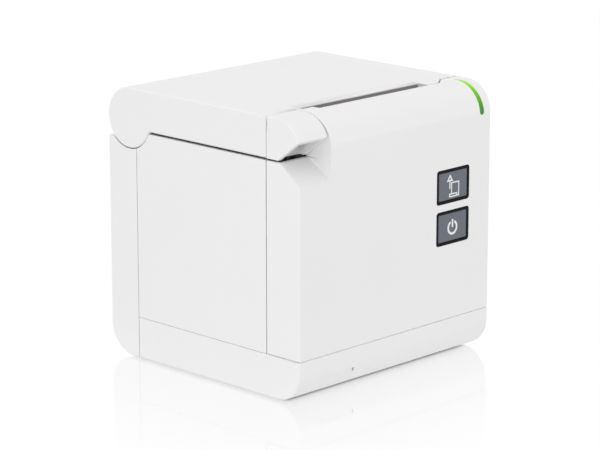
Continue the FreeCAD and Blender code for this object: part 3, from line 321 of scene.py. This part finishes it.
def strip(points, width, closed):
    """Left and right borders of a stroke of constant width along a flat path: each point moves out
    along the mean normal of its two runs, divided by the cosine of half the turn."""
    least_mitre = 0.35
    path = np.asarray(points, float)
    ahead = np.roll(path, -1, 0) - path
    behind = path - np.roll(path, 1, 0)
    if not closed:
        ahead[-1], behind[0] = behind[-1], ahead[0]
    ahead /= np.linalg.norm(ahead, axis=1)[:, None]
    behind /= np.linalg.norm(behind, axis=1)[:, None]
    normal = np.stack([-(ahead + behind)[:, 1], (ahead + behind)[:, 0]], 1)
    normal /= np.linalg.norm(normal, axis=1)[:, None]
    mitre = np.clip((normal * np.stack([-ahead[:, 1], ahead[:, 0]], 1)).sum(1), least_mitre, 1.0)
    offset = normal * (width / 2 / mitre)[:, None]
    return path + offset, path - offset


def bar_faces(count, closed):
    """Faces of a bar whose count rings of four corners follow each other: four sides and, where the
    path is open, two ends."""
    rows = np.arange(count if closed else count - 1)
    ahead = (rows + 1) % count
    sides = [np.stack([rows * 4 + k, rows * 4 + (k + 1) % 4, ahead * 4 + (k + 1) % 4, ahead * 4 + k], 1)
             for k in range(4)]
    faces = np.concatenate(sides).tolist()
    last = 4 * count - 4
    return faces if closed else faces + [[3, 2, 1, 0], [last, last + 1, last + 2, last + 3]]


def turned_out(piece):
    """Turns the faces of a closed piece outwards."""
    form = bmesh.new()
    form.from_mesh(piece.data)
    bmesh.ops.recalc_face_normals(form, faces=form.faces)
    form.to_mesh(piece.data)
    form.free()


def seam_tongue(name, points, low, high):
    """Tongue that closes a seam from inside: a bar of tongue_wide along a path in plan, from the height
    low to the height high."""
    tongue_wide = 0.0010
    left, right_side = strip(points, tongue_wide, False)
    ring = np.stack([left, left, right_side, right_side], 1)
    height = np.broadcast_to([low, high, high, low], ring.shape[:2])
    piece = new_piece(name, np.dstack([ring, height]).reshape(-1, 3), bar_faces(len(ring), False))
    turned_out(piece)
    piece.data.materials.append(casing_white)
    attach(piece, body_of["base"])


tongue_in = 0.0011
front_low, panel_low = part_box("front_cover")[0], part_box("left_panel")[0]
panel_high, base_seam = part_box("left_panel")[1], 0.0002
tongue_x, tongue_y, tray_top = -cad_low.x - tongue_in, front_low.y + tongue_in, panel_low.z - base_seam
seam_tongue("front_tongue", [(-tongue_x, tongue_y), (tongue_x, tongue_y)], tray_top, front_low.z)
for name, side in (("left_tongue", -1.0), ("right_tongue", 1.0)):
    seam_tongue(name, [(side * tongue_x, tongue_y + tongue_in), (side * tongue_x, panel_high.y)],
                tray_top, panel_low.z)

# Base notch: the shallow pull in the tray's front seems to end in a narrow gap in the moulding. The tray
# has no such gap, so a thin matt black inlay on the notch's end wall is painted shade for its unlit inside.
# Painted shade: this near-black inlay stands in for shade in a gap the tray does not have.
notch_shade_black = plastic("notch_shade_black", (0.012, 0.012, 0.013), 0.6, 0.1, mottle=0.2, gloss=0.1)
notch_end, notch_shade_out, notch_shade_sunk = 0.0364, 0.00004, 0.00002
notch_shade_x = cad_low.x + notch_end
notch_shade_corners = np.array([(0.72, 10.95), (1.12, 10.95), (1.75, 9.40), (1.32, 9.40)]) / 1000.0
notch_shade_corners = notch_shade_corners + (cad_low.y, 0.0)
notch_shade_ring = np.broadcast_to(notch_shade_corners, (2, *notch_shade_corners.shape))
notch_shade_ends = np.broadcast_to([[notch_shade_x - notch_shade_out], [notch_shade_x + notch_shade_sunk]], notch_shade_ring.shape[:2])
notch_shade = new_piece("notch_painted_shade", np.dstack([notch_shade_ends, notch_shade_ring]).reshape(-1, 3), bar_faces(2, False))
turned_out(notch_shade)
notch_shade.data.materials.append(notch_shade_black)
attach(notch_shade, body_of["base"])

# Key rims: two frames pushed through the front cover from behind, in polished black plastic.
# The keys stand in them a hair below the face, in slate grey with a satin finish.
rim_black = plastic("rim_black", (0.005, 0.005, 0.006), 0.24, 0.02, mottle=0.3, gloss=0.09)
key_grey = plastic("key_grey", (0.112, 0.122, 0.150), 0.42, 0.06, mottle=0.06)
rim_edge, key_edge, guide_edge = 0.00012, 0.0003, 0.0001
moulded("button_rims", rim_black, rim_edge, 3)
moulded("feed_button", key_grey, key_edge, 3)
moulded("power_button", key_grey, key_edge, 3)


# Key signs: a paper sheet with an arrow on the feed key and a ring with a bar on the power key,
# pad printed in white ink, so they are thin raised strokes that lie on the key's face.
def ink_stroke(name, node, points, width, closed):
    """Stroke of ink on a key: a rectangle of the given width and of ink_high carried along a path of
    millimetres from the rim's left and top edges, laid on the key's front face."""
    ink_high, over_left, over_top = 0.00003, 0.0003, 0.0007
    low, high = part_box(node)
    left, right_side = strip(points, width, closed)
    face = low.y
    ring = np.stack([left, left, right_side, right_side], 1) / 1000.0
    x = low.x - over_left + ring[:, :, 0]
    z = high.z + over_top - ring[:, :, 1]
    y = np.broadcast_to([face + ink_high, face - ink_high, face - ink_high, face + ink_high], x.shape)
    grid = np.stack([x, y, z], 2)
    piece = new_piece(name, grid.reshape(-1, 3), bar_faces(len(grid), closed))
    turned_out(piece)
    piece.data.materials.append(ink_white)
    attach(piece, body_of[node])


ink_white = plastic("ink_white", (0.80, 0.81, 0.83), 0.5, 0.05)
arrow_tip, arrow_foot, arrow_half = (8.7, 3.2), 5.6, 1.55
sheet_line, power_line = 0.6, 1.1
ink_stroke("feed_arrow", "feed_button",
           [arrow_tip, (arrow_tip[0] + arrow_half, arrow_foot), (arrow_tip[0] - arrow_half, arrow_foot)],
           0.75, True)
ink_stroke("feed_stem", "feed_button", [(8.7, 5.9), (8.7, 9.6)], 0.7, False)
ink_stroke("feed_sheet", "feed_button",
           [(9.9, 12.0), (9.9, 6.8), (15.0, 6.8), (15.0, 13.4), (14.0, 13.4)],
           sheet_line, False)
ink_stroke("feed_slot", "feed_button",
           [(8.5, 12.2), (13.7, 12.2), (13.7, 13.4), (8.5, 13.4)], sheet_line, True)
ring_centre, ring_radius, ring_gap = (10.9, 8.5), 3.0, math.radians(27.0)
turn = np.linspace(ring_gap, 2 * math.pi - ring_gap, 40)
ink_stroke("power_ring", "power_button",
           np.stack([ring_centre[0] + ring_radius * np.sin(turn),
                     ring_centre[1] - ring_radius * np.cos(turn)], 1), power_line, False)
ink_stroke("power_bar", "power_button", [(ring_centre[0], 4.5), (ring_centre[0], 8.4)], power_line, False)


# Status light: a clear green light guide let into the rounded front edge. It glows from the LED
# behind its foot, lime at its thin upper end and deeper green towards the foot.
def light_glow():
    """Green that follows the height: deep green at the foot, lime at the top end."""
    low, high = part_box("status_light")
    made, wire = new_material("light_glow")
    place = wire.node("TexCoord", out="Object")
    height = wire.node("SeparateXYZ", {}, {"Vector": place}, out="Z")
    share = wire.node("MapRange", {}, {"Value": height, "From Min": low.z, "From Max": high.z})
    green = wire.node("ValToRGB", {"stops": [(0.0, (0.048, 0.19, 0.020)), (0.30, (0.060, 0.27, 0.010)),
                                             (0.70, (0.130, 0.48, 0.003)), (1.0, (0.270, 0.68, 0.010))]},
                      {"Fac": share})
    surface = wire.node("BsdfPrincipled", {}, {
        "Base Color": green, "Roughness": 0.30, "Emission Color": green, "Emission Strength": 0.20,
        "Specular IOR Level": 0.15})
    wire.node("OutputMaterial", {}, {"Surface": surface})
    return made


moulded("status_light", light_glow(), guide_edge)


# The mechanism under the lid: zinc plated sheet steel, ground shafts and blades, an aluminium sink
# with the ceramic print head, acetal gears, a rubber platen and dark plastic guides.
def metal(name, colour, roughness, stretch, streak=0.12):
    """Plated or ground metal: streaks drawn out along stretch shift its tone and its gloss."""
    streak_lift, streak_deep = 0.08, 0.00003
    made, wire = new_material(name)
    place = wire.node("TexCoord", out="Object")
    drawn = wire.node("Mapping", {}, {"Vector": place, "Scale": stretch})
    lines = wire.node("TexNoise", {}, {"Vector": drawn, "Scale": 1.0, "Detail": 4.0})
    dark = [c * (1.0 - streak) for c in colour]
    tone = wire.node("Mix", {"data_type": "RGBA"}, {0: lines, 6: (*dark, 1.0), 7: (*colour, 1.0)}, out=2)
    scratched = wire.node("Bump", {}, {"Strength": streak_lift, "Distance": streak_deep, "Height": lines})
    surface = wire.node("BsdfPrincipled", {}, {
        "Base Color": tone, "Metallic": 1.0, "Roughness": roughness + (lines - 0.5) * 0.16,
        "Normal": scratched})
    wire.node("OutputMaterial", {}, {"Surface": surface})
    return made


def dress(material, *nodes):
    """Gives solids that keep their own mesh a finish."""
    for node in nodes:
        frame["nodes"][node].material_slots[0].material = material


along_x, along_z, spotted = (60.0, 2500.0, 2500.0), (2200.0, 2200.0, 60.0), (700.0, 700.0, 700.0)
dress(metal("zinc_sheet", (0.62, 0.63, 0.64), 0.34, spotted), "mech_frame", "gear_plate", "cutter_frame",
      "latch_hook")
dress(metal("ground_shaft", (0.66, 0.66, 0.67), 0.22, along_x), "lever_pin", "catch_pin", "hinge_pins",
      "head_pivot_shaft", "platen_shaft", "idler_post")
dress(metal("ground_blade", (0.70, 0.70, 0.71), 0.20, along_x), "fixed_blade", "moving_blade")
spring_leaf = metal("spring_leaf", (0.58, 0.57, 0.55), 0.26, along_z)
dress(spring_leaf, "head_spring")
dress(metal("motor_can", (0.50, 0.50, 0.51), 0.36, spotted), "feed_motor", "cutter_motor")
dress(metal("sink_bar", (0.74, 0.75, 0.76), 0.30, along_x), "head_heat_sink")
dress(metal("screw_steel", (0.52, 0.52, 0.53), 0.30, spotted), "case_screws")
dress(plastic("guide_dark", (0.055, 0.056, 0.060), 0.50, 0.15, mottle=0.12), "paper_bin", "paper_guide")
# The lid's inner frame is grey plastic. Where its beam shows in the paper slot under the lid's front edge,
# its grey is also painted shade for the slot's dark inside.
dress(plastic("inner_grey_and_slot_shade", (0.285, 0.272, 0.280), 0.50, 0.15, mottle=0.06), "lid_inner")
dress(plastic("gear_acetal", (0.76, 0.75, 0.69), 0.38, 0.04, mottle=0.04), "platen_gear", "idler_gear",
      "motor_pinion", "cutter_pinion", "platen_bushes")
dress(plastic("platen_black", (0.022, 0.022, 0.023), 0.62, 0.30, mottle=0.25), "platen_rubber")
dress(plastic("part_black", (0.018, 0.018, 0.019), 0.45, 0.10, mottle=0.2), "paper_sensor", "cover_switch",
      "button_switches")
dress(plastic("led_clear", (0.72, 0.80, 0.66), 0.2, 0.02), "status_led")


# Lever spring: one strip of spring steel, held flat under the lid, bent down and then forward, so
# that its free end lies under the lever's tail and gives way when the lever is pulled.
leaf_thick, leaf_bend, bend_steps, riser_in, finger_steps = 0.0004, 0.0006, 7, 0.0032, 14
leaf_low, leaf_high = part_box("lever_spring")
leaf_top, leaf_foot = leaf_high.z - leaf_thick / 2, leaf_low.z + leaf_thick / 2
riser_y = leaf_high.y - riser_in
quarter = np.linspace(0.0, math.pi / 2, bend_steps)
upper = np.stack([riser_y + leaf_bend - leaf_bend * np.sin(quarter),
                  leaf_top - leaf_bend + leaf_bend * np.cos(quarter)], 1)
lower = np.stack([riser_y - leaf_bend + leaf_bend * np.cos(quarter),
                  leaf_foot + leaf_bend - leaf_bend * np.sin(quarter)], 1)
finger_y = np.linspace(riser_y - leaf_bend, leaf_low.y, finger_steps)[1:]
finger = np.stack([finger_y, np.full_like(finger_y, leaf_foot)], 1)
leaf_path = np.concatenate([[(leaf_high.y, leaf_top)], upper, lower, finger])
leaf_over, leaf_under = strip(leaf_path, leaf_thick, False)
leaf_ring = np.stack([leaf_over, leaf_over, leaf_under, leaf_under], 1)
leaf_x = np.broadcast_to([leaf_low.x, leaf_high.x, leaf_high.x, leaf_low.x], leaf_ring.shape[:2])
leaf = new_piece("lever_leaf", np.dstack([leaf_x, leaf_ring]).reshape(-1, 3),
                 bar_faces(len(leaf_ring), False))
turned_out(leaf)
leaf.data.materials.append(spring_leaf)
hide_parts("lever_spring")
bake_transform(leaf)


# Print head: a strip of ceramic on the aluminium sink, with a glazed heater line facing the platen.
# The bare ceramic is a matt cream tone and the glaze is dark and glossy.
def head_glaze():
    """Ceramic substrate with a dark glazed heater line along it, level with the platen's axis."""
    low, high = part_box("platen_rubber")
    line_z, line_half, line_soft = (low.z + high.z) / 2, 0.0006, 0.0001
    made, wire = new_material("head_glaze")
    place = wire.node("TexCoord", out="Object")
    height = wire.node("SeparateXYZ", {}, {"Vector": place}, out="Z")
    off = wire.math("ABSOLUTE", height - line_z)
    line = wire.node("MapRange", {}, {"Value": off, "From Min": line_half,
                                      "From Max": line_half + line_soft, "To Min": 1.0, "To Max": 0.0})
    cloud = wire.node("TexNoise", {}, {"Vector": place, "Scale": 300.0, "Detail": 3.0})
    bare = wire.node("Mix", {"data_type": "RGBA"}, {0: cloud, 6: (0.50, 0.46, 0.40, 1.0),
                                                    7: (0.60, 0.56, 0.50, 1.0)}, out=2)
    tone = wire.node("Mix", {"data_type": "RGBA"}, {0: line, 6: bare, 7: (0.05, 0.03, 0.025, 1.0)}, out=2)
    surface = wire.node("BsdfPrincipled", {}, {"Base Color": tone, "Roughness": 0.30 - 0.15 * line})
    wire.node("OutputMaterial", {}, {"Surface": surface})
    return made


dress(head_glaze(), "print_head")


# Boards: glass fibre with etched tracks under green solder mask, and tinned pads. The main board
# carries the rear sockets, and the control board stands behind the keys.
def board_green():
    """Solder mask: a grid of lighter tracks over darker ground, with a speckle of tinned pads."""
    made, wire = new_material("board_green")
    place = wire.node("TexCoord", out="Object")
    tracks = wire.node("TexBrick", {"offset": 0.3}, {"Vector": place, "Scale": 120.0, "Mortar Size": 0.06,
                                                     "Color1": (0.010, 0.090, 0.035, 1.0),
                                                     "Color2": (0.014, 0.110, 0.045, 1.0),
                                                     "Mortar": (0.030, 0.170, 0.075, 1.0)})
    pads = wire.node("TexVoronoi", {}, {"Vector": place, "Scale": 260.0})
    pad = wire.node("MapRange", {}, {"Value": pads, "From Min": 0.16, "From Max": 0.20, "To Min": 1.0,
                                     "To Max": 0.0})
    tone = wire.node("Mix", {"data_type": "RGBA"}, {0: pad, 6: tracks, 7: (0.62, 0.62, 0.60, 1.0)}, out=2)
    surface = wire.node("BsdfPrincipled", {}, {"Base Color": tone, "Metallic": pad, "Roughness": 0.32})
    wire.node("OutputMaterial", {}, {"Surface": surface})
    return made


dress(board_green(), "main_board", "control_board")

# Rear sockets: a black power inlet and drawer jack, and tinned shells on the data and network
# sockets, all soldered to the main board and showing through holes in the rear cover.
port_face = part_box("lan_port")[1].y


def port_shell():
    """Tinned shell with a black moulded insert: tin on its rim, and insert where it lies deeper than
    rim_deep behind the port's face."""
    rim_deep, rim_soft = 0.0009, 0.0002
    made, wire = new_material("port_shell")
    place = wire.node("TexCoord", out="Object")
    along = wire.node("SeparateXYZ", {}, {"Vector": place}, out="Y")
    tin = wire.node("MapRange", {}, {"Value": along, "From Min": port_face - rim_deep - rim_soft,
                                     "From Max": port_face - rim_deep})
    cloud = wire.node("TexNoise", {}, {"Vector": place, "Scale": 500.0, "Detail": 3.0})
    shade = wire.node("Mix", {"data_type": "RGBA"}, {0: cloud, 6: (0.60, 0.60, 0.60, 1.0),
                                                     7: (0.70, 0.70, 0.69, 1.0)}, out=2)
    tone = wire.node("Mix", {"data_type": "RGBA"}, {0: tin, 6: (0.020, 0.020, 0.022, 1.0), 7: shade}, out=2)
    surface = wire.node("BsdfPrincipled", {}, {"Base Color": tone, "Metallic": tin,
                                               "Roughness": 0.42 - 0.12 * tin + (cloud - 0.5) * 0.08})
    wire.node("OutputMaterial", {}, {"Surface": surface})
    return made


dress(port_shell(), "usb_port", "lan_port")
dress(plastic("port_black", (0.020, 0.020, 0.021), 0.40, 0.06, mottle=0.2), "dc_jack", "drawer_port")


def contact_row(name, node, middle_x, count, path):
    """Row of sprung contacts: count bars of contact_wide at contact_pitch, each carried along one path
    of points across the socket's depth and height in millimetres."""
    contact_wide, contact_thick, contact_pitch = 0.00042, 0.00022, 0.00102
    over, under = strip(np.asarray(path) / 1000.0, contact_thick, False)
    ring = np.stack([over, over, under, under], 1)
    side = np.array([-0.5, 0.5, 0.5, -0.5]) * contact_wide
    step = (np.arange(count) - (count - 1) / 2) * contact_pitch + middle_x
    x = np.broadcast_to(step[:, None, None] + side, (count, *ring.shape[:2]))
    yz = np.broadcast_to(ring, (count, *ring.shape))
    grid = np.concatenate([x[..., None], yz], 3)
    one = np.asarray(bar_faces(len(ring), False))
    faces = (one[None] + (np.arange(count) * ring.shape[0] * 4)[:, None, None]).reshape(-1, 4)
    piece = new_piece(name, grid.reshape(-1, 3), faces)
    turned_out(piece)
    piece.data.materials.append(contact_gold)
    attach(piece, body_of[node])


contact_gold = metal("contact_gold", (0.80, 0.58, 0.22), 0.24, (900.0, 60.0, 900.0))
lan_low, lan_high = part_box("lan_port")
drawer_low, drawer_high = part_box("drawer_port")
contact_row("lan_contacts", "lan_port", (lan_low.x + lan_high.x) / 2, 8,
            [(51.2, 21.0), (57.8, 20.9), (58.6, 20.3), (53.0, 17.9)])
contact_row("drawer_contacts", "drawer_port", (drawer_low.x + drawer_high.x) / 2, 6,
            [(51.2, 19.9), (57.8, 19.8), (58.6, 19.2), (53.0, 16.8)])
usb_low, usb_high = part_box("usb_port")
usb_middle, usb_half, usb_back, usb_front = 1000.0 * (usb_low.z + usb_high.z) / 2, 1.52, 51.2, 55.6
for name, side in (("usb_contacts_over", 1.0), ("usb_contacts_under", -1.0)):
    contact_row(name, "usb_port", (usb_low.x + usb_high.x) / 2, 4,
                [(usb_back, usb_middle + side * usb_half), (usb_front, usb_middle + side * usb_half)])

# Feet: round pads of soft black rubber. Each is pressed into a shallow pocket under the base and
# stands a little proud of it.
dress(plastic("foot_rubber", (0.030, 0.030, 0.031), 0.70, 0.40, mottle=0.3), "rubber_feet")
